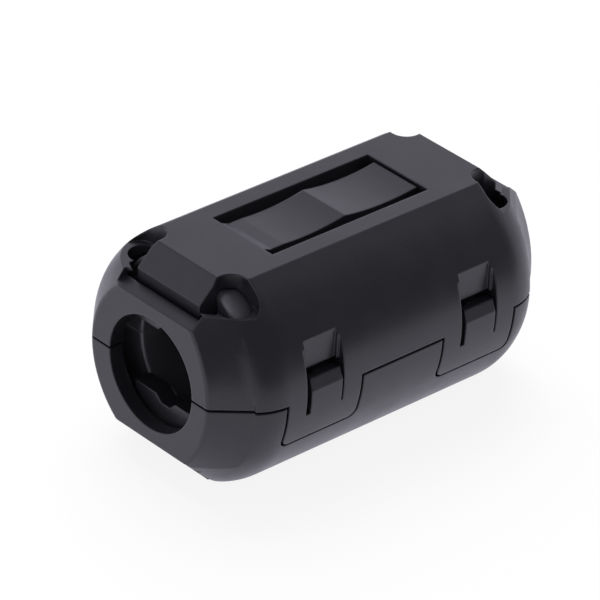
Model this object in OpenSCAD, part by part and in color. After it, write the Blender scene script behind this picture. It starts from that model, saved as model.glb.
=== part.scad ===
// Clip on ferrite bead: a round cable choke in a black nylon snap case.
// X runs along the cable, Z is up, and the two halves part on the plane z = 0.
// The origin is the middle of the cable passage. The lid hinges on the +Y side.

/* [Ferrite core] */
// Length of the ferrite ring along the cable
core_length = 28; // [26:0.5:34]
// Diameter of the round that the core is ground to
core_d = 17.6; // [17:0.1:19]
// Height of the core between its two flats
core_height = 15.6; // [15:0.1:16.4]
// Width of the core between its two side flats
core_width = 16.6; // [16:0.1:17.2]
// Bore of the core
core_bore_d = 10.4; // [9:0.1:11]
// Rounding of the end edges of the core's flats
core_edge_r = 0.6; // [0.3:0.1:1]
// Chamfer of the end edges of its round
core_chamfer = 0.35; // [0.2:0.05:0.6]
// Room between the core and the case all round
core_clearance = 0.2; // [0.1:0.05:0.4]

/* [Case] */
// Thickness of the case over the core's flats
flat_wall = 1.25; // [1:0.05:1.8]
// Thickness of the case beside the core, where the latch and hinge are
side_wall = 1.9; // [1.8:0.1:2.6]
// Thickness of the ring at each end that the cable passes
end_wall = 1.35; // [1:0.05:2]
// Diameter of the cable hole in each end ring
bore_d = 10; // [8:0.1:10.4]
// Distance past the bore axis from which the flanks are struck
flank_centre = 0.5; // [0.3:0.1:0.8]
// Set back of each half from the parting plane
parting_gap = 0.1; // [0.05:0.05:0.2]

/* [Tapered ends] */
// Length over which the latch side tapers to each end
taper_length = 5.5; // [5:0.5:8]
// Length over which the hinge side tapers to each end
hinge_taper_length = 5; // [4.5:0.5:6]
// Radius of the shoulder where the taper starts
shoulder_r = 4.7; // [3:0.1:5.5]
// Half width of the end face at the parting plane, on the latch side
end_half_width = 6.85; // [6.5:0.05:7.2]
// Half width of the end face at the parting plane, on the hinge side
hinge_end_half_width = 7.2; // [7:0.05:7.4]
// Distance past the bore axis from which the end face's latch side is struck
end_centre = 2.6; // [2:0.1:3]
// Slope of the end face's latch side
end_slope = 40; // [36:1:44]
// Height of the end face from the bore axis to its flat
end_half_height = 6.2; // [6:0.05:6.6]
// Rise of the ledge on the end ring from its front to its back
ledge_rise = 0.2; // [0:0.05:0.4]
// Half width of that ledge
ledge_half_width = 4.65; // [4.5:0.05:5]
// Rounding of the end face's outer edge
rim_r = 0.45; // [0.2:0.05:0.8]
// Radial thickness of the case's sides round the room behind each end ring
hollow_wall = 0.8; // [0.7:0.05:1.2]
// Radial thickness of the case's corners round the same room
corner_wall = 0.5; // [0.45:0.05:0.8]
// Largest radius of the same room
hollow_r = 8.7; // [8.6:0.05:8.9]

/* [Core claws] */
// Width of each claw that holds the core in
claw_width = 7.5; // [6:0.1:8]
// Thickness of the claw's upright plate
claw_thickness = 1.65; // [1:0.05:1.8]
// Gap between the claw and the end ring
claw_gap = 0.3; // [0.2:0.05:0.5]
// Gap along each side of a lower claw
claw_side_gap = 0.6; // [0.4:0.05:1]
// Height above the bore axis that the claw's lip reaches down to
claw_reach = 2.95; // [2:0.05:4]
// Drop of an upper claw's 45 degree front below the case's flat
upper_bevel = 1.85; // [1:0.05:2.2]
// Rise of a lower claw's 45 degree front above the case's flat
lower_bevel = 1.45; // [1:0.05:2.2]
// Width of the notch at the claw's lip
notch_width = 2.3; // [1.5:0.1:3]
// Width of the notch at its closed end
notch_floor_width = 1; // [0.4:0.1:1.4]
// Depth of the notch
notch_depth = 0.6; // [0.5:0.05:1.3]

/* [Corner openings] */
// Height of the opening's floor in the case's skin above the bore axis
corner_floor = 7.1; // [6.8:0.05:7.2]
// Radius of each pocket beside an upper claw
pocket_r = 1.4; // [1:0.1:1.6]
// Distance of the pocket's inner centre from the middle
pocket_inner = 4.95; // [4.6:0.05:5.4]
// Distance from there to the middle of the pocket's deep part
pocket_deep_run = 0.4; // [0:0.05:0.6]
// Length of the pocket between its two centres
pocket_run = 1.2; // [0.8:0.1:1.4]
// Distance of the pocket's centres from the core's end
pocket_back = 0.3; // [0.2:0.05:0.8]

/* [Top spring] */
// Length of the window in the top flat
window_length = 16.6; // [12:0.2:18]
// Width of the window
window_width = 7.16; // [6:0.02:8]
// Width of the spring tongue in the window
spring_width = 5.1; // [4:0.1:5.8]
// Thickness of the tongue
spring_thickness = 0.75; // [0.6:0.05:0.85]
// Depth of its two scoops below the top flat
scoop_depth = 0.4; // [0.3:0.05:0.65]
// Radius of the scoops
scoop_r = 24; // [14:0.5:28]
// Distance between the lowest lines of the two scoops
scoop_pitch = 8.6; // [7.6:0.1:9]
// Distance of the crest between the scoops from the window's middle
crest_shift = 0.3; // [0:0.1:0.6]
// Gap at the tongue's free end
spring_end_gap = 0.25; // [0.2:0.05:0.8]
// Length of the sloped lip where the tongue leaves the flat
lip_length = 0.8; // [0.4:0.1:1.4]
// Drop of that lip
lip_drop = 0.3; // [0.2:0.05:0.35]

/* [Latches] */
// Distance between the middles of the two latches
latch_spacing = 16.54; // [15:0.02:18]
// Width of each latch tab
tab_width = 7.6; // [6.4:0.1:8]
// Reach of the tab below the parting plane
tab_drop = 4.05; // [3:0.05:4.5]
// Rounding of the tab's lower corners
tab_corner_r = 0.7; // [0.5:0.1:1.5]
// Thickness of the tab at the parting plane
tab_thickness = 0.95; // [0.7:0.05:1.1]
// Gap between the tab and the seat behind it
tab_clearance = 0.15; // [0.1:0.05:0.25]
// Gap along each side of the tab
tab_side_gap = 0.25; // [0.2:0.05:0.5]
// Gap under the tab
tab_end_gap = 0.15; // [0.1:0.05:0.3]
// Width of the catch tongue in the tab
catch_width = 3.2; // [2.6:0.1:4]
// Wide slit on the -X side of the catch tongue
wide_slit = 0.5; // [0.4:0.05:0.6]
// Narrow slit on its +X side
slit = 0.2; // [0.2:0.05:0.4]
// Depth below the parting plane that the slits reach
slit_drop = 1.55; // [1:0.05:2.4]
// Height of the catch tongue's front edge above the parting plane
catch_front = 0.4; // [0.2:0.05:0.8]
// Height of its top above the parting plane
catch_top = 1.5; // [0.9:0.05:1.6]
// Lean of its front, inward from the front edge to the top
catch_lean = 0.35; // [0.2:0.05:0.6]
// Height of the opening under the recess above the parting plane
window_top = 2; // [1.8:0.05:2.4]
// Width of the recess floor between its ledges
floor_width = 3.4; // [2.6:0.1:3.6]
// Depth of the recess floor inside the case's widest line
recess_depth = 1.07; // [0.9:0.01:1.15]
// Depth of the narrow ledges beside the recess floor
ledge_depth = 0.8; // [0.6:0.05:0.85]
// Height of the locating lug behind the catch
lug_height = 1.4; // [0.5:0.05:1.5]
// Width of the locating lug, which lines up with the tongue's +X side
lug_width = 2.2; // [1.8:0.1:2.6]

/* [Hinge] */
// Width of each hinge strap
strap_width = 6; // [4:0.5:8]
// Distance between the middles of the two straps
strap_spacing = 16.5; // [12:0.5:18]
// Reach of each strap above and below the parting plane
strap_reach = 2.2; // [1.5:0.1:2.4]
// Thickness that the straps stand out from the flat band
strap_thickness = 0.3; // [0.2:0.05:0.4]
// Depth of the groove across the straps at the parting plane
groove_depth = 0.12; // [0.1:0.01:0.15]
// Reach of that groove above and below the parting plane
groove_reach = 0.5; // [0.3:0.05:0.8]

/* [Hidden] */
$fn = 96;
scoop_facets = 360;
tiny = 0.01;
pocket_cut_in = 0.3;
big = 60;

cavity_half_length = core_length / 2 + core_clearance;
ring_inner = cavity_half_length + claw_thickness + claw_gap;
case_half = ring_inner + end_wall;
case_half_height = core_height / 2 + core_clearance + flat_wall;
case_half_width = core_width / 2 + core_clearance + side_wall;
hinge_y = case_half_width;
strap_root = side_wall / 2;

// Each flank is a round with tapered ends, struck from a centre past the bore axis. Another round,
// the end trim, is struck from further off and makes the latch side of each end flatter.
flank_r = case_half_width + flank_centre;
end_trim_r = end_half_width + end_centre;
end_corner_y = sqrt(pow(end_trim_r, 2) - pow(end_half_height, 2)) - end_centre;
corner_clear = 0.05;
flank_end_r = norm([end_corner_y + flank_centre, end_half_height]) + corner_clear;
flank_slope = taper_angle(shoulder_r, flank_r - flank_end_r, taper_length);
hinge_end_r = hinge_end_half_width + flank_centre;
hinge_slope = taper_angle(shoulder_r, flank_r - hinge_end_r, hinge_taper_length);
trim_start = case_half - taper_length + shoulder_r * sin(flank_slope);

claw_front = ring_inner - claw_gap;
slot_half_width = claw_width / 2 + claw_side_gap;

pocket_x = core_length / 2 - pocket_back;
deep_y = pocket_inner + pocket_deep_run;
pocket_floor = sqrt(pow(core_d / 2 + core_clearance, 2) - pow(deep_y + pocket_r, 2)) - pocket_cut_in;
latch_x = latch_spacing / 2;
tab_inner_r = 2 * case_half_width - tab_thickness;
seat_r = tab_inner_r - tab_clearance;
catch_window = catch_width + wide_slit + slit;
catch_x = (wide_slit - slit) / 2;
cavity_half_width = core_width / 2 + core_clearance;

// Angle of a taper that leaves a shoulder of radius r and drops by d over a length l.
function taper_angle(r, d, l, low = 0, high = 80, n = 24) =
    let (mid = (low + high) / 2,
         drop = r * (1 - cos(mid)) + (l - r * sin(mid)) * tan(mid))
    n == 0 ? mid
    : drop < d ? taper_angle(r, d, l, mid, high, n - 1)
    : taper_angle(r, d, l, low, mid, n - 1);

// Where the rim's circle lies that touches the end face and a side of the given slope.
function rim_centre(end_r, slope) = [end_r - rim_r * tan(45 - slope / 2), case_half - rim_r];
function on_circle(centre, r, angle) = centre + r * [cos(angle), sin(angle)];

// Draws half a section and its mirror image, with the radius along x and the length along y.
module both_halves() {
    for (flip = [0, 1])
        mirror([0, flip])
            children();
}

// Half section of a flank: a shoulder, a straight taper of the given length and slope that ends
// at the given radius, and a rounded rim.
module flank_section(length, slope, end_r) {
    shoulder = [flank_r - shoulder_r, case_half - length];
    rim = rim_centre(end_r, slope);
    polygon([[0, 0], [flank_r, 0], [flank_r, shoulder[1]],
             on_circle(shoulder, shoulder_r, slope), on_circle(rim, rim_r, slope),
             [rim[0], case_half], [0, case_half]]);
    translate(shoulder)
        intersection() {
            circle(r = shoulder_r);
            square(shoulder_r);
        }
    translate(rim)
        circle(r = rim_r);
}

// Half section of the end trim: it stands clear of the flank up to the start of the taper.
module trim_section() {
    rim = rim_centre(end_trim_r, end_slope);
    run = case_half - trim_start;
    polygon([[0, 0], [big, 0], [big, trim_start], [end_trim_r + run * tan(end_slope), trim_start],
             on_circle(rim, rim_r, end_slope), [rim[0], case_half], [0, case_half]]);
    translate(rim)
        circle(r = rim_r);
}

// A round along X, struck from the given Y.
module round_from(y) {
    translate([0, y, 0])
        rotate([0, 90, 0])
            rotate_extrude()
                both_halves()
                    children();
}

// Side view of the case: two flats, a 45 degree bevel and a lower end ring.
module side_view(bevel) {
    bevel_end = case_half_height - (ring_inner - (claw_front - bevel));
    outline = [[claw_front - bevel, case_half_height],
               [ring_inner, bevel_end],
               [ring_inner, corner_floor],
               [case_half, corner_floor]];
    polygon(concat(outline,
                   [for (i = [3:-1:0]) [outline[i][0], -outline[i][1]]],
                   [for (i = [0:3]) [-outline[i][0], -outline[i][1]]],
                   [for (i = [3:-1:0]) [-outline[i][0], outline[i][1]]]));
}

// What the ledge takes off the top of one end ring: it slopes down towards the end face.
module ledge_cut() {
    across(2 * ledge_half_width)
        polygon([[ring_inner, end_half_height + ledge_rise],
                 [case_half + end_wall, end_half_height - ledge_rise],
                 [case_half + end_wall, corner_floor + end_wall],
                 [ring_inner, corner_floor + end_wall]]);
}

// Turns an outline drawn as X and Z into a plate of the given width, centred on y = 0.
module across(width) {
    translate([0, width / 2, 0])
        rotate([90, 0, 0])
            linear_extrude(height = width)
                children();
}

// Outer form of the case, with the given bevel over its claws.
module case_envelope(bevel) {
    intersection() {
        round_from(flank_centre)
            flank_section(taper_length, flank_slope, flank_end_r);
        round_from(-flank_centre)
            flank_section(hinge_taper_length, hinge_slope, hinge_end_r);
        round_from(end_centre)
            trim_section();
        across(big)
            side_view(bevel);
    }
}

module round_rectangle(length, width, r) {
    square([length, width - 2 * r], center = true);
    square([length - 2 * r, width], center = true);
    for (x = [-1, 1], y = [-1, 1])
        translate([x * (length / 2 - r), y * (width / 2 - r)])
            circle(r = r);
}

// Outer form of the core, grown by a clearance all round for the room it lies in.
module core_form(grow) {
    length = core_length + 2 * grow;
    edge = core_edge_r + grow;
    r = core_d / 2 + grow;
    chamfer_start = length / 2 - core_chamfer;
    intersection() {
        rotate([0, 90, 0])
            rotate_extrude()
                polygon([[0, -length / 2], [r - core_chamfer, -length / 2], [r, -chamfer_start],
                         [r, chamfer_start], [r - core_chamfer, length / 2], [0, length / 2]]);
        across(big)
            round_rectangle(length, core_height + 2 * grow, edge);
        linear_extrude(height = big, center = true)
            round_rectangle(length, core_width + 2 * grow, edge);
    }
}

// Everything on one side of the parting plane, set back by a gap.
module half_space(side, gap) {
    translate([-big / 2, -big / 2, side > 0 ? gap : -big - gap])
        cube([big, big, big]);
}

module both_ends() {
    for (end = [0, 1])
        mirror([end, 0, 0])
            children();
}

module at_latches() {
    for (end = [-1, 1])
        translate([end * latch_x, 0, 0])
            children();
}

// A cylinder about the hinge line, as long as the case.
module about_hinge(r) {
    translate([0, hinge_y, 0])
        rotate([0, 90, 0])
            cylinder(r = r, h = 2 * case_half, center = true);
}

// Cone inside one taper, a wall's thickness in, from the core's end to the end ring.
module room_cone(y, slope, end_r, wall) {
    wide_r = end_r + (case_half - core_length / 2) * tan(slope) - wall;
    narrow_r = end_r + end_wall * tan(slope) - wall;
    translate([core_length / 2, y, 0])
        rotate([0, 90, 0])
            cylinder(r1 = wide_r, r2 = narrow_r, h = ring_inner - core_length / 2);
}

// Room behind one end ring, in which the claws stand.
module end_room() {
    intersection() {
        room_cone(flank_centre, flank_slope, flank_end_r, corner_wall);
        room_cone(-flank_centre, hinge_slope, hinge_end_r, hollow_wall);
        room_cone(end_centre, end_slope, end_trim_r, hollow_wall);
        rotate([0, 90, 0])
            cylinder(r = hollow_r, h = big);
    }
}

module cable_bore() {
    rotate([0, 90, 0])
        cylinder(d = bore_d, h = big, center = true);
}

// Slots beside a lower claw, drawn upside up, from the pocket's line to the end ring.
module claw_slot() {
    translate([pocket_x, -slot_half_width, 0])
        cube([ring_inner - pocket_x, 2 * slot_half_width, big]);
}

// Opening beside an upper claw, from the pocket's line to the end ring and out through the skin.
module corner_opening() {
    translate([pocket_x, -big / 2, corner_floor])
        cube([ring_inner - pocket_x, big, big]);
}

// One claw: an arm that bends down at the end and a plate with a notched lip.
module claw(bevel) {
    root = pocket_x - pocket_r;
    front_height = case_half_height - bevel;
    difference() {
        across(claw_width)
            polygon([[root, case_half_height],
                     [claw_front - bevel, case_half_height],
                     [claw_front, front_height],
                     [claw_front, claw_reach],
                     [cavity_half_length, claw_reach],
                     [cavity_half_length, front_height - flat_wall],
                     [root, front_height - flat_wall]]);
        core_form(core_clearance);
        translate([0, 0, claw_reach])
            rotate([90, 0, 90])
                linear_extrude(height = big)
                    polygon([[-notch_width / 2, -tiny], [notch_width / 2, -tiny],
                             [notch_floor_width / 2, notch_depth],
                             [-notch_floor_width / 2, notch_depth]]);
    }
}

// Rounded pocket at each corner of a flat: deep near the claw, shallow out to the skin.
module corner_pockets() {
    for (side = [-1, 1]) {
        translate([pocket_x, side * deep_y, pocket_floor])
            cylinder(r = pocket_r, h = big);
        translate([pocket_x, side * pocket_inner, corner_floor])
            cylinder(r = pocket_r, h = big);
        translate([pocket_x, side * (pocket_inner + pocket_run), corner_floor])
            cylinder(r = pocket_r, h = big);
        translate([pocket_x - pocket_r, side * (pocket_inner + pocket_run / 2) - pocket_run / 2,
                   corner_floor])
            cube([2 * pocket_r, pocket_run, big]);
    }
}

// Case half with its room for the core, its end rings and claws; the openings beside the claws
// are its children. It is drawn for the upper half and mirrored for the lower one.
module half_case(bevel) {
    difference() {
        intersection() {
            case_envelope(bevel);
            half_space(1, parting_gap);
        }
        core_form(core_clearance);
        cable_bore();
        both_ends() {
            end_room();
            ledge_cut();
            children();
        }
    }
    both_ends()
        claw(bevel);
}

// Side view of the spring tongue: two shallow scoops with a crest between them.
module spring_section() {
    low = case_half_height - scoop_depth;
    first_low = crest_shift - scoop_pitch / 2;
    root = -window_length / 2;
    tip = window_length / 2 - spring_end_gap;
    difference() {
        for (side = [-1, 1])
            intersection() {
                translate([crest_shift + side * scoop_pitch / 2, low + scoop_r])
                    difference() {
                        circle(r = scoop_r + spring_thickness, $fn = scoop_facets);
                        circle(r = scoop_r, $fn = scoop_facets);
                    }
                translate([side < 0 ? root - flat_wall : crest_shift, 0])
                    square([side < 0 ? crest_shift - root + flat_wall : tip - crest_shift,
                            case_half_height]);
            }
        polygon([[root, case_half_height + tiny], [root, case_half_height],
                 [root + lip_length, case_half_height - lip_drop],
                 [first_low, case_half_height - lip_drop],
                 [first_low, case_half_height + tiny]]);
    }
}

module spring_window() {
    translate([-window_length / 2, -window_width / 2, core_height / 2])
        cube([window_length, window_width, big]);
}

// Front view of a latch tab, grown at its sides and its lower end for the seat it lies in.
module tab_outline(side_gap, end_gap) {
    r = tab_corner_r + end_gap;
    bottom = -tab_drop - end_gap;
    top = parting_gap + r;
    translate([0, -big / 2, (top + bottom) / 2])
        across(big)
            round_rectangle(tab_width + 2 * side_gap, top - bottom, r);
}

// Latch tab: the case's own skin carried below the parting plane, thinned to an arc about
// the hinge line, so that it lifts clear of the seat when the lid opens.
module latch_tab() {
    difference() {
        intersection() {
            case_envelope(upper_bevel);
            at_latches()
                tab_outline(0, 0);
        }
        about_hinge(tab_inner_r);
        at_latches()
            translate([-catch_window / 2, -big, -slit_drop])
                cube([catch_window, big, big]);
    }
}

// Catch tongue: stands up from the tab's lower bar between two slits, with a leaning front.
module catch_tongue() {
    difference() {
        intersection() {
            case_envelope(upper_bevel);
            at_latches()
                translate([catch_x + catch_width / 2, 0, 0])
                    rotate([90, 0, -90])
                        linear_extrude(height = catch_width)
                            catch_section();
        }
        about_hinge(tab_inner_r);
    }
}

// Section of the catch tongue: distance in from y = 0 runs along x and height along y.
module catch_section() {
    outer = case_half_width + tiny;
    top_outer = case_half_width - catch_lean;
    polygon([[cavity_half_width, -slit_drop - tiny], [outer, -slit_drop - tiny],
             [outer, catch_front], [top_outer, catch_top], [cavity_half_width, catch_top]]);
}

// Recess above the catch: a floor between two narrow ledges, and the window under it.
module latch_recess() {
    at_latches() {
        translate([-catch_window / 2, -case_half_width - tiny, parting_gap - tiny])
            cube([catch_window, ledge_depth + tiny, big]);
        translate([-floor_width / 2, -case_half_width - tiny, parting_gap - tiny])
            cube([floor_width, recess_depth + tiny, big]);
        translate([-catch_window / 2, -case_half_width - tiny, -tiny])
            cube([catch_window, case_half_width, window_top + tiny]);
    }
}

// Room in the lower half for the tabs, down to the seat that is struck about the hinge line.
module latch_seat() {
    difference() {
        at_latches()
            tab_outline(tab_side_gap, tab_end_gap);
        about_hinge(seat_r);
    }
}

// Lug that stands up from the lower half behind each catch tongue.
module locating_lugs() {
    intersection() {
        about_hinge(seat_r);
        at_latches()
            translate([catch_x + catch_width / 2 - lug_width, -case_half_width, -2 * parting_gap])
                cube([lug_width, case_half_width - cavity_half_width, lug_height + 2 * parting_gap]);
    }
}

// Flat band along the hinge side, on which the straps stand.
module hinge_band() {
    translate([-big / 2, hinge_y - strap_thickness, -big / 2])
        cube([big, big, big]);
}

// Hinge straps of one half: thin plates that meet those of the other half at z = 0, where a
// shallow groove runs across their outer faces.
module hinge_straps() {
    root = hinge_y - strap_root;
    for (end = [-1, 1])
        translate([end * strap_spacing / 2 - strap_width / 2, root, 0]) {
            cube([strap_width, strap_root - groove_depth, strap_reach]);
            translate([0, 0, groove_reach])
                cube([strap_width, strap_root, strap_reach - groove_reach]);
        }
}

module upper_shell() {
    color("#26262a") {
        difference() {
            half_case(upper_bevel)
                corner_opening();
            both_ends()
                corner_pockets();
            hinge_band();
            latch_recess();
            spring_window();
        }
        latch_tab();
        catch_tongue();
        across(spring_width)
            spring_section();
        hinge_straps();
    }
}

module lower_shell() {
    color("#222226") {
        difference() {
            mirror([0, 0, 1])
                half_case(lower_bevel)
                    claw_slot();
            hinge_band();
            latch_seat();
        }
        locating_lugs();
        mirror([0, 0, 1])
            hinge_straps();
    }
}

module core_half(side) {
    color("#3b3b3e")
        difference() {
            intersection() {
                core_form(0);
                half_space(side, 0);
            }
            rotate([0, 90, 0])
                cylinder(d = core_bore_d, h = big, center = true);
        }
}

module lower_core() {
    core_half(-1);
}

module upper_core() {
    core_half(1);
}

lower_shell();
upper_shell();
lower_core();
upper_core();
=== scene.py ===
# %% [markdown]
# # Clip on ferrite bead
#
# A ferrite bead is a cable choke: a tube of dark ceramic in a black nylon case. The case opens
# like a book on a film hinge, closes round the cable and snaps shut with two latches.
#
# The solids were drawn in CAD and come in as a fixed frame. This notebook dresses them: it gives
# them their finishes, adds the pieces that only Blender makes well, and sets up the studio.

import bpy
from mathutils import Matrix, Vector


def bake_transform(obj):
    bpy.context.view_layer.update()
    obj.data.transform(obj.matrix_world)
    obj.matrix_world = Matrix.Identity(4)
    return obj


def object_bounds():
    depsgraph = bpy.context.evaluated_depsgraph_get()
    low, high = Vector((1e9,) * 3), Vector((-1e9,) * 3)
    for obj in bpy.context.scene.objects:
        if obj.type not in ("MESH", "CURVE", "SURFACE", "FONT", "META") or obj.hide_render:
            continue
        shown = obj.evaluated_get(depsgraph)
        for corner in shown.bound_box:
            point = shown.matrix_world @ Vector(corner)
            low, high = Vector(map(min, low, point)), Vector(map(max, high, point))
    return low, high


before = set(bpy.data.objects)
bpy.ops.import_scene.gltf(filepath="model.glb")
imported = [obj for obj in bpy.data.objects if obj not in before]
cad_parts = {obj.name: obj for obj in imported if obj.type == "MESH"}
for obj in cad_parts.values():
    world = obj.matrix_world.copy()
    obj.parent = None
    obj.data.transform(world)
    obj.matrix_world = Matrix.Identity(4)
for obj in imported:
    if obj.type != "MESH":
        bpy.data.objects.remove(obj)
print("solids:", sorted(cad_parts))

# %% [markdown]
# ## Units and size
#
# Blender works in metres, and a small part is easier to think of in millimetres, so each size
# below is a number of millimetres times MM. The box round the solids is measured before anything
# is added, because the finished part must not outgrow it.

# %% Measure the box of the solids
from math import radians

import bpy
from mathutils import Matrix, Vector

MM = 0.001


def mm(*values):
    """Millimetres as a vector in Blender's metres."""
    return Vector(values) * MM


cad_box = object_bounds()
print("CAD box in mm:", [[round(v / MM, 2) for v in corner] for corner in cad_box])

# %% [markdown]
# ## The camera
#
# A small part looks best from well back and through a long lens, so that its far end stays nearly
# as large as its near end. The camera is placed by three turns: which way it faces round the part,
# how far it looks down, and a slight roll. Its distance and its lens together set the size of the
# part in the frame.

# %% Place the camera
CAMERA_PLACE = (-223.804, -238.553, 198.505)
CAMERA_HEADING = -42.940
CAMERA_PITCH = 58.773
CAMERA_ROLL = 2.590
LENS = 284.66
NEAR_CLIP = 10 * MM

camera_data = bpy.data.cameras.new("camera")
camera_data.lens = LENS
camera_data.clip_start = NEAR_CLIP
camera = bpy.data.objects.new("camera", camera_data)
camera.matrix_world = (
    Matrix.Translation(mm(*CAMERA_PLACE))
    @ Matrix.Rotation(radians(CAMERA_HEADING), 4, "Z")
    @ Matrix.Rotation(radians(CAMERA_PITCH), 4, "X")
    @ Matrix.Rotation(radians(CAMERA_ROLL), 4, "Z")
)
bpy.context.scene.collection.objects.link(camera)
bpy.context.scene.camera = camera
print("camera at", tuple(round(v / MM) for v in camera.location), "mm, lens", LENS, "mm")

# %% [markdown]
# ## Nodes for materials
#
# Every finish here is a small graph of nodes. Three helpers keep the graphs short. The first turns
# a colour written as sRGB hex into the linear numbers that a shader works with. The second adds a
# node with its settings and its links in a single call. The third starts an empty material.

# %% Helpers for colours and nodes


def linear(hex_colour):
    """An sRGB hex colour such as '#26262a' as linear RGBA."""
    channels = [int(hex_colour[i : i + 2], 16) / 255 for i in (1, 3, 5)]
    return [c / 12.92 if c <= 0.04045 else ((c + 0.055) / 1.055) ** 2.4 for c in channels] + [1.0]


def add(tree, kind, links=None, inputs=None, **settings):
    """Adds a node; links maps its inputs to other nodes' outputs, inputs sets plain values."""
    node = tree.nodes.new("ShaderNode" + kind)
    for name, value in settings.items():
        setattr(node, name, value)
    for name, value in (inputs or {}).items():
        node.inputs[name].default_value = value
    for name, output in (links or {}).items():
        tree.links.new(output, node.inputs[name])
    return node


def new_material(name):
    """An empty node material and its tree."""
    material = bpy.data.materials.new(name)
    material.use_nodes = True
    material.node_tree.nodes.clear()
    return material, material.node_tree


print("a middle grey is", round(linear("#808080")[0], 3), "in linear light")

# %% [markdown]
# ## Moulded nylon
#
# The case is black polyamide, injection moulded in a tool with a fine spark-eroded skin. That gives
# a satin black: highlights are broad and soft, and the colour is slightly cool. Three things keep
# it from looking like a flat paint: a fine grain from the tool, a slow waviness where thick and
# thin walls shrank differently, and small changes of gloss from handling. The real grain is finer
# than this, and is drawn at a quarter of a millimetre so that it can be seen.
#
# A mould has no sharp edges. The Bevel node rounds them for the light only, which leaves the mesh
# alone. The crease where the long side turns into the tapered end is a wide blend on the real
# case, so the radius is made to grow there.

# %% Choose where the mould's edges are soft
MOULD_EDGE = 0.2 * MM
BLEND_EDGE = 1.6 * MM
BLEND_X = (12.4 * MM, 13.4 * MM, 15.4 * MM, 16.4 * MM)
BLEND_Y = (6.2 * MM, 7.0 * MM, 11.0 * MM, 12.0 * MM)
BLEND_Z = (0.6 * MM, 1.6 * MM, 4.6 * MM, 5.8 * MM)


def band(tree, value, limits):
    """1 where the size of a value lies between the inner limits, 0 outside the outer ones."""
    size = add(tree, "Math", operation="ABSOLUTE")
    tree.links.new(value, size.inputs[0])
    rise = add(tree, "MapRange", {"Value": size.outputs[0]},
               {"From Min": limits[0], "From Max": limits[1]})
    fall = add(tree, "MapRange", {"Value": size.outputs[0]},
               {"From Min": limits[2], "From Max": limits[3], "To Min": 1.0, "To Max": 0.0})
    both = add(tree, "Math", operation="MULTIPLY")
    tree.links.new(rise.outputs["Result"], both.inputs[0])
    tree.links.new(fall.outputs["Result"], both.inputs[1])
    return both.outputs[0]


def mould_radius(tree, place):
    """The radius of the moulded edges, larger on the creases beside the ends."""
    axes = add(tree, "SeparateXYZ", {"Vector": place})
    crease = band(tree, axes.outputs["X"], BLEND_X)
    for axis, limits in (("Y", BLEND_Y), ("Z", BLEND_Z)):
        within = add(tree, "Math", operation="MULTIPLY")
        tree.links.new(crease, within.inputs[0])
        tree.links.new(band(tree, axes.outputs[axis], limits), within.inputs[1])
        crease = within.outputs[0]
    return add(tree, "MapRange", {"Value": crease},
               {"To Min": MOULD_EDGE, "To Max": BLEND_EDGE}).outputs["Result"]


print("edges of", MOULD_EDGE / MM, "mm, and of", BLEND_EDGE / MM, "mm on the creases")

# %% Make the moulded nylon
NYLON_IOR = 1.55
NYLON_ROUGHNESS = (0.26, 0.42)
NYLON_GRAIN = 0.25 * MM
NYLON_WAVE = 5.0 * MM
NYLON_SMUDGE = 2.5 * MM
GRAIN_DEPTH = 0.02 * MM
GRAIN_STRENGTH = 0.35
WAVE_DEPTH = 0.2 * MM
WAVE_STRENGTH = 0.15
EDGE_SAMPLES = 8


def moulded_nylon(name, dark, light):
    """A satin moulded plastic between two shades."""
    material, tree = new_material(name)
    place = add(tree, "TexCoord").outputs["Object"]
    grain = add(tree, "TexNoise", {"Vector": place}, {"Scale": 1 / NYLON_GRAIN, "Detail": 2.0})
    wave = add(tree, "TexNoise", {"Vector": place}, {"Scale": 1 / NYLON_WAVE, "Detail": 1.0})
    smudge = add(tree, "TexNoise", {"Vector": place}, {"Scale": 1 / NYLON_SMUDGE, "Detail": 4.0})
    colour = add(tree, "MixRGB", {"Fac": smudge.outputs["Fac"]},
                 {"Color1": linear(dark), "Color2": linear(light)})
    gloss = add(tree, "MapRange", {"Value": smudge.outputs["Fac"]},
                {"To Min": NYLON_ROUGHNESS[0], "To Max": NYLON_ROUGHNESS[1]})
    edge = add(tree, "Bevel", {"Radius": mould_radius(tree, place)}, samples=EDGE_SAMPLES)
    waves = add(tree, "Bump", {"Height": wave.outputs["Fac"], "Normal": edge.outputs["Normal"]},
                {"Strength": WAVE_STRENGTH, "Distance": WAVE_DEPTH})
    skin = add(tree, "Bump", {"Height": grain.outputs["Fac"], "Normal": waves.outputs["Normal"]},
               {"Strength": GRAIN_STRENGTH, "Distance": GRAIN_DEPTH})
    nylon = add(tree, "BsdfPrincipled",
                {"Base Color": colour.outputs["Color"], "Roughness": gloss.outputs["Result"],
                 "Normal": skin.outputs["Normal"]},
                {"IOR": NYLON_IOR})
    add(tree, "OutputMaterial", {"Surface": nylon.outputs["BSDF"]})
    return material


case_nylon = moulded_nylon("moulded_nylon", "#1b1b1f", "#202024")
print("made", case_nylon.name)

# %% [markdown]
# ## Sintered ferrite
#
# The core is a ceramic of iron, manganese and zinc oxides, pressed from powder and fired. It is
# charcoal grey with a faint lustre, speckled with fine pores, and tumbling has rounded its edges.
# The two faces on which the halves meet are ground flat, so that no air gap weakens the bead: they
# are smoother and a little lighter than the fired skin, with fine lines along their length. Height
# from the parting plane tells the ground faces from the rest. Real pores and grinding lines are a
# few hundredths of a millimetre wide, and are drawn coarser so that they can be seen.

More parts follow.
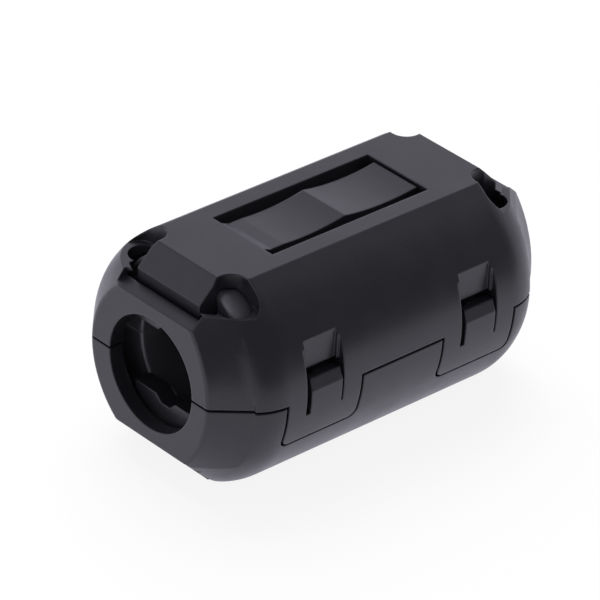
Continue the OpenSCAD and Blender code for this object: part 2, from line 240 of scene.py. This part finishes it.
# %% Make the sintered ferrite
FERRITE_IOR = 2.0
FIRED_ROUGHNESS = 0.42
GROUND_ROUGHNESS = 0.32
FERRITE_GRAIN = 0.25 * MM
FERRITE_CLOUD = 3.0 * MM
PORE_DEPTH = 0.03 * MM
PORE_STRENGTH = 0.3
TUMBLED_EDGE = 0.6 * MM
GROUND_Z = (-2.0 * MM, -1.0 * MM, 0.15 * MM, 0.3 * MM)
GRIND_LENGTH = 8.0 * MM
GRIND_PITCH = 0.15 * MM


def sintered_ferrite(name, dark, light, ground_shade):
    """A fired ceramic between two shades, with its mating faces ground to a third."""
    material, tree = new_material(name)
    place = add(tree, "TexCoord").outputs["Object"]
    grain = add(tree, "TexNoise", {"Vector": place}, {"Scale": 1 / FERRITE_GRAIN, "Detail": 3.0})
    cloud = add(tree, "TexNoise", {"Vector": place}, {"Scale": 1 / FERRITE_CLOUD, "Detail": 2.0})
    along = add(tree, "Mapping", {"Vector": place},
                {"Scale": (1 / GRIND_LENGTH, 1 / GRIND_PITCH, 1 / GRIND_PITCH)})
    lines = add(tree, "TexNoise", {"Vector": along.outputs["Vector"]},
                {"Scale": 1.0, "Detail": 1.0})
    height = add(tree, "SeparateXYZ", {"Vector": place}).outputs["Z"]
    ground = band(tree, height, GROUND_Z)
    fired = add(tree, "MixRGB", {"Fac": cloud.outputs["Fac"]},
                {"Color1": linear(dark), "Color2": linear(light)})
    colour = add(tree, "MixRGB", {"Fac": ground, "Color1": fired.outputs["Color"]},
                 {"Color2": linear(ground_shade)})
    relief = add(tree, "MixRGB", {"Fac": ground, "Color1": grain.outputs["Fac"],
                                  "Color2": lines.outputs["Fac"]})
    gloss = add(tree, "MapRange", {"Value": ground},
                {"To Min": FIRED_ROUGHNESS, "To Max": GROUND_ROUGHNESS})
    edge = add(tree, "Bevel", inputs={"Radius": TUMBLED_EDGE}, samples=EDGE_SAMPLES)
    pores = add(tree, "Bump", {"Height": relief.outputs["Color"], "Normal": edge.outputs["Normal"]},
                {"Strength": PORE_STRENGTH, "Distance": PORE_DEPTH})
    ferrite = add(tree, "BsdfPrincipled",
                  {"Base Color": colour.outputs["Color"], "Roughness": gloss.outputs["Result"],
                   "Normal": pores.outputs["Normal"]},
                  {"IOR": FERRITE_IOR})
    add(tree, "OutputMaterial", {"Surface": ferrite.outputs["BSDF"]})
    return material


core_ferrite = sintered_ferrite("sintered_ferrite", "#3a3a3e", "#49494d", "#525257")
print("made", core_ferrite.name)

# %% [markdown]
# ## Dressing the solids
#
# The shapes of the shells and cores are right as they come from CAD, so they stay, and only their
# material slots change. Both shells get the same nylon, because they are one moulding.

# %% Dress the solids
FINISHES = {
    "lower_shell": case_nylon,
    "upper_shell": case_nylon,
    "lower_core": core_ferrite,
    "upper_core": core_ferrite,
}
for name, finish in FINISHES.items():
    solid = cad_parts[name]
    solid.data.materials.clear()
    solid.data.materials.append(finish)
print("dressed", len(FINISHES), "solids")

# %% [markdown]
# ## The film hinges
#
# The two halves of a real case are one moulding. Where they meet, a film of the same nylon crosses
# the groove of each hinge strap, and folds when the case opens. It could be a bare sheet, but it
# is made as a thin block: the block is cut across into rows, pinched along the fold, where a film
# is thinnest so that it always bends on the same line, and its edges are rounded.

# %% Cut a thin block into rows
FILM_PLACE = (-8.25, 10.3375, 0)
FILM_SIZE = (5.9, 0.095, 0.98)
FILM_ROWS = (-0.3, -0.1, -0.06, -0.03, 0, 0.03, 0.06, 0.1, 0.3)
MERGE_REACH = 0.001 * MM

bpy.ops.object.select_all(action="DESELECT")
bpy.ops.mesh.primitive_cube_add(size=1, location=mm(*FILM_PLACE))
film = bpy.context.object
film.name = "film_minus_x"
bpy.ops.transform.resize(value=mm(*FILM_SIZE))
bpy.ops.object.transform_apply(location=True, rotation=True, scale=True)
bpy.ops.object.mode_set(mode="EDIT")
for row in FILM_ROWS:
    bpy.ops.mesh.select_all(action="SELECT")
    bpy.ops.mesh.bisect(plane_co=mm(0, 0, row), plane_no=(0, 0, 1), threshold=MERGE_REACH)
bpy.ops.object.mode_set(mode="OBJECT")
print(film.name, "has", len(film.data.vertices), "corners")

# %% Pinch it along the fold
import bmesh

FILM_PINCH = 0.03
PINCH_REACH = 0.04

bpy.ops.object.mode_set(mode="EDIT")
bpy.ops.mesh.select_all(action="DESELECT")
corners = bmesh.from_edit_mesh(film.data)
for corner in corners.verts:
    on_fold = abs(corner.co.z) < PINCH_REACH * MM
    corner.select = on_fold and corner.co.y > FILM_PLACE[1] * MM
corners.select_flush(True)
bmesh.update_edit_mesh(film.data)
bpy.ops.transform.translate(value=mm(0, -FILM_PINCH, 0))
bpy.ops.object.mode_set(mode="OBJECT")
print("film is", FILM_SIZE[1] - FILM_PINCH, "mm thick at the fold")

# %% Round its edges
FILM_EDGE = 0.015
SHARP_ANGLE = 60
SMOOTH_ANGLE = 30

rounding = film.modifiers.new("rounding", "BEVEL")
rounding.width = FILM_EDGE * MM
rounding.segments = 2
rounding.limit_method = "ANGLE"
rounding.angle_limit = radians(SHARP_ANGLE)
bpy.ops.object.modifier_apply(modifier="rounding")
bpy.ops.object.shade_smooth_by_angle(angle=radians(SMOOTH_ANGLE))
print(film.name, "has", len(film.data.polygons), "faces")

bpy.ops.object.select_all(action="DESELECT")
film.select_set(True)
bpy.context.view_layer.objects.active = film
bpy.ops.object.duplicate(linked=False)
other_film = bpy.context.object
other_film.name = "film_plus_x"
bpy.ops.transform.translate(value=mm(-2 * FILM_PLACE[0], 0, 0))
bpy.ops.object.transform_apply(location=True, rotation=True, scale=True)
for piece in (film, other_film):
    piece.data.materials.clear()
    piece.data.materials.append(case_nylon)
    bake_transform(piece)
print("films:", film.name, other_film.name)

# %% [markdown]
# ## The studio
#
# The part lies on a white table in a white room. A black part shows hardly anything but what it
# reflects, so the rays that leave a gloss decide its looks. They see the table and the far wall
# white, a darker ceiling, and a grey flag in front of the long side. Between them, these draw the
# shape of the part in tones.
#
# The Light Path node tells such rays from those that light the part. That way the room can look
# white without the light of a white room falling on everything.

# %% Tell seen rays from lighting rays
COOL_WHITE = linear("#f2f0ff")


def background_rays(tree):
    """1 for rays from the camera, a gloss or a glass, and 0 for the rays that light things."""
    path = add(tree, "LightPath")
    seen = add(tree, "Math", operation="MAXIMUM")
    tree.links.new(path.outputs["Is Camera Ray"], seen.inputs[0])
    tree.links.new(path.outputs["Is Glossy Ray"], seen.inputs[1])
    all_seen = add(tree, "Math", operation="MAXIMUM")
    tree.links.new(seen.outputs[0], all_seen.inputs[0])
    tree.links.new(path.outputs["Is Transmission Ray"], all_seen.inputs[1])
    return all_seen.outputs[0]


def room_colour(tree):
    """Pure white for the camera, and the cool white of the lamp for everything else."""
    camera_ray = add(tree, "LightPath").outputs["Is Camera Ray"]
    return add(tree, "MixRGB", {"Fac": camera_ray},
               {"Color1": COOL_WHITE, "Color2": linear("#ffffff")}).outputs["Color"]


print("the room's light is", [round(c, 2) for c in COOL_WHITE[:3]])

# %% [markdown]
# ### The table
#
# A sheet of white paper would do for a table, but it looks grey wherever the light is weaker. So
# most of what the camera sees of it is a plain white glow, and the rest is paper, which keeps the
# shadow of the part. It lies a hundredth of a millimetre below the part, so that the two never
# share a face.

# %% Lay the white table
TABLE_SIZE = 4.0
TABLE_GAP = 0.01 * MM
TABLE_LIFT = 0.88

bpy.ops.object.select_all(action="DESELECT")
bpy.ops.mesh.primitive_plane_add(size=TABLE_SIZE, location=(0, 0, cad_box[0][2] - TABLE_GAP))
table = bpy.context.object
table.name = "table"

table_white, tree = new_material("white_table")
paper = add(tree, "BsdfDiffuse", inputs={"Color": linear("#f0f0f0")})
glow = add(tree, "Emission", {"Color": room_colour(tree)}, {"Strength": 1.0})
share = add(tree, "MapRange", {"Value": background_rays(tree)}, {"To Max": TABLE_LIFT})
both = add(tree, "MixShader", {"Fac": share.outputs["Result"]})
tree.links.new(paper.outputs[0], both.inputs[1])
tree.links.new(glow.outputs[0], both.inputs[2])
add(tree, "OutputMaterial", {"Surface": both.outputs[0]})
table.data.materials.append(table_white)
print("table at", round(table.location.z / MM, 2), "mm")

# %% [markdown]
# ### The flag
#
# A flag is a sheet that a studio hangs beside a shiny thing to give it something dark to reflect.
# This one stands in front of the latches and darkens the long side, down to where that side turns
# towards the table. Only a gloss can see it: it hides nothing and casts no shadow.

# %% Set up the grey flag
FLAG_PLACE = (2, -56, 55)
FLAG_SIZE = (212, 140)
FLAG_TURNS = (90, 0, -8)

bpy.ops.object.select_all(action="DESELECT")
bpy.ops.mesh.primitive_plane_add(size=1, location=mm(*FLAG_PLACE),
                                 rotation=[radians(turn) for turn in FLAG_TURNS])
flag = bpy.context.object
flag.name = "front_flag"
flag.scale = (FLAG_SIZE[0] * MM, FLAG_SIZE[1] * MM, 1)
flag.visible_camera = False
flag.visible_diffuse = False
flag.visible_shadow = False

grey_felt, tree = new_material("grey_felt")
felt = add(tree, "Emission", inputs={"Color": linear("#707074"), "Strength": 1.0})
add(tree, "OutputMaterial", {"Surface": felt.outputs[0]})
flag.data.materials.append(grey_felt)
print("flag of", FLAG_SIZE[0], "x", FLAG_SIZE[1], "mm")

# %% [markdown]
# ### The light
#
# The world is the room: white walls that darken into the ceiling for the rays that see it, and an
# even, weaker fill for the rays that light the part. One softbox hangs behind the part and above
# it, so that the shadow falls softly to the front. A gloss doesn't see the softbox, because its
# square would stand out on the satin case.

# %% Paint the room
ROOM_FILL = 0.55
WALL = 1.0
CEILING = 0.25
WALL_TOP = 0.5
CEILING_START = 0.8

world = bpy.data.worlds.new("room")
bpy.context.scene.world = world
world.use_nodes = True
tree = world.node_tree
tree.nodes.clear()
direction = add(tree, "SeparateXYZ", {"Vector": add(tree, "TexCoord").outputs["Object"]})
wall = add(tree, "MapRange", {"Value": direction.outputs["Z"]},
           {"From Min": WALL_TOP, "From Max": CEILING_START, "To Min": WALL, "To Max": CEILING})
strength = add(tree, "MapRange", {"Value": background_rays(tree), "To Max": wall.outputs["Result"]},
               {"To Min": ROOM_FILL})
room = add(tree, "Background", {"Color": room_colour(tree), "Strength": strength.outputs["Result"]})
add(tree, "OutputWorld", {"Surface": room.outputs[0]})
print("room fill", ROOM_FILL, "wall", WALL, "ceiling", CEILING)

# %% Hang the softbox
SOFTBOX_PLACE = (150, 300, 500)
SOFTBOX_SIZE = 500 * MM
SOFTBOX_WATTS = 4.0

lamp_data = bpy.data.lights.new("top_softbox", "AREA")
lamp_data.size = SOFTBOX_SIZE
lamp_data.energy = SOFTBOX_WATTS
lamp = bpy.data.objects.new("top_softbox", lamp_data)
lamp.location = mm(*SOFTBOX_PLACE)
lamp.rotation_euler = (-lamp.location).to_track_quat("-Z", "Y").to_euler()
lamp.visible_glossy = False
bpy.context.scene.collection.objects.link(lamp)
bpy.context.scene.view_settings.view_transform = "Standard"
print(lamp.name, "hangs", round(lamp.location.length / MM), "mm away")
